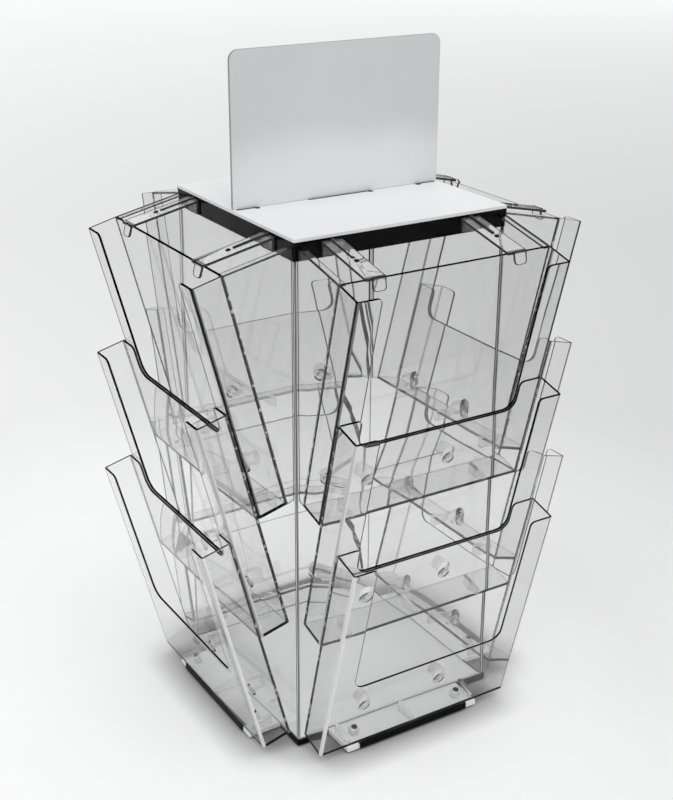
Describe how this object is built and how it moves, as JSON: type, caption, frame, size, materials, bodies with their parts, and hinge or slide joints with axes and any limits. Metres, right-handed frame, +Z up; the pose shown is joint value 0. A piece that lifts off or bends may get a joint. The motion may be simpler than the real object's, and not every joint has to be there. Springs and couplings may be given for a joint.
{
  "type": "periodical display rack",
  "caption": "Counter-top rack for magazines that turns on its base: a clear square column with clear leaning pockets on every side, a black cap and a lift-out header panel.",
  "frame": {"origin": "centre of the footprint, on the surface that the rack stands on", "axes": "+Z up; the front side faces -Y; +X to the right seen from the front; the header panel lies in the XZ plane"},
  "size_m": [0.4436, 0.4436, 0.6987],
  "materials": {
    "clear_plastic": "clear sheet, polished faces and edges",
    "clear_pocket": "clear injection-moulded, glossy",
    "grey_plastic": "light grey, fine satin",
    "header_plastic": "light grey sheet, semi-gloss",
    "black_plastic": "black, glossy",
    "steel": "zinc plated",
    "white_plastic": "natural nylon",
    "rubber": "matt"
  },
  "bodies": {
    "foot": {"foot_plate": "steel", "foot_pads": "rubber", "slip_ring": "white_plastic"},
    "rack": {"pivot_washer": "steel", "pivot_screw": "steel", "base_plate": "grey_plastic", "top_plate": "grey_plastic", "top_cap": "black_plastic", "corner_trim_front_left": "black_plastic", "corner_trim_front_right": "black_plastic", "corner_trim_back_right": "black_plastic", "corner_trim_back_left": "black_plastic", "edge_strip_front": "black_plastic", "core_panel_front": "clear_plastic", "pocket_front_bottom": "clear_pocket", "pocket_front_middle": "clear_pocket", "pocket_front_top": "clear_pocket", "bracket_arm_front_left": "clear_pocket", "bracket_arm_front_right": "clear_pocket", "edge_strip_right": "black_plastic", "core_panel_right": "clear_plastic", "pocket_right_bottom": "clear_pocket", "pocket_right_middle": "clear_pocket", "pocket_right_top": "clear_pocket", "bracket_arm_right_left": "clear_pocket", "bracket_arm_right_right": "clear_pocket", "edge_strip_back": "black_plastic", "core_panel_back": "clear_plastic", "pocket_back_bottom": "clear_pocket", "pocket_back_middle": "clear_pocket", "pocket_back_top": "clear_pocket", "bracket_arm_back_left": "clear_pocket", "bracket_arm_back_right": "clear_pocket", "edge_strip_left": "black_plastic", "core_panel_left": "clear_plastic", "pocket_left_bottom": "clear_pocket", "pocket_left_middle": "clear_pocket", "pocket_left_top": "clear_pocket", "bracket_arm_left_left": "clear_pocket", "bracket_arm_left_right": "clear_pocket"},
    "header": {"header_panel": "header_plastic"}
  },
  "joints": [
    {"name": "rack_spin", "type": "hinge", "parent": "foot", "child": "rack", "pos_m": [0, 0, 0.0021], "axis": [0, 0, 1], "continuous": true},
    {"name": "header_lift", "type": "slide", "parent": "rack", "child": "header", "axis": [0, 0, 1], "range_m": [0, 0.03]}
  ]
}
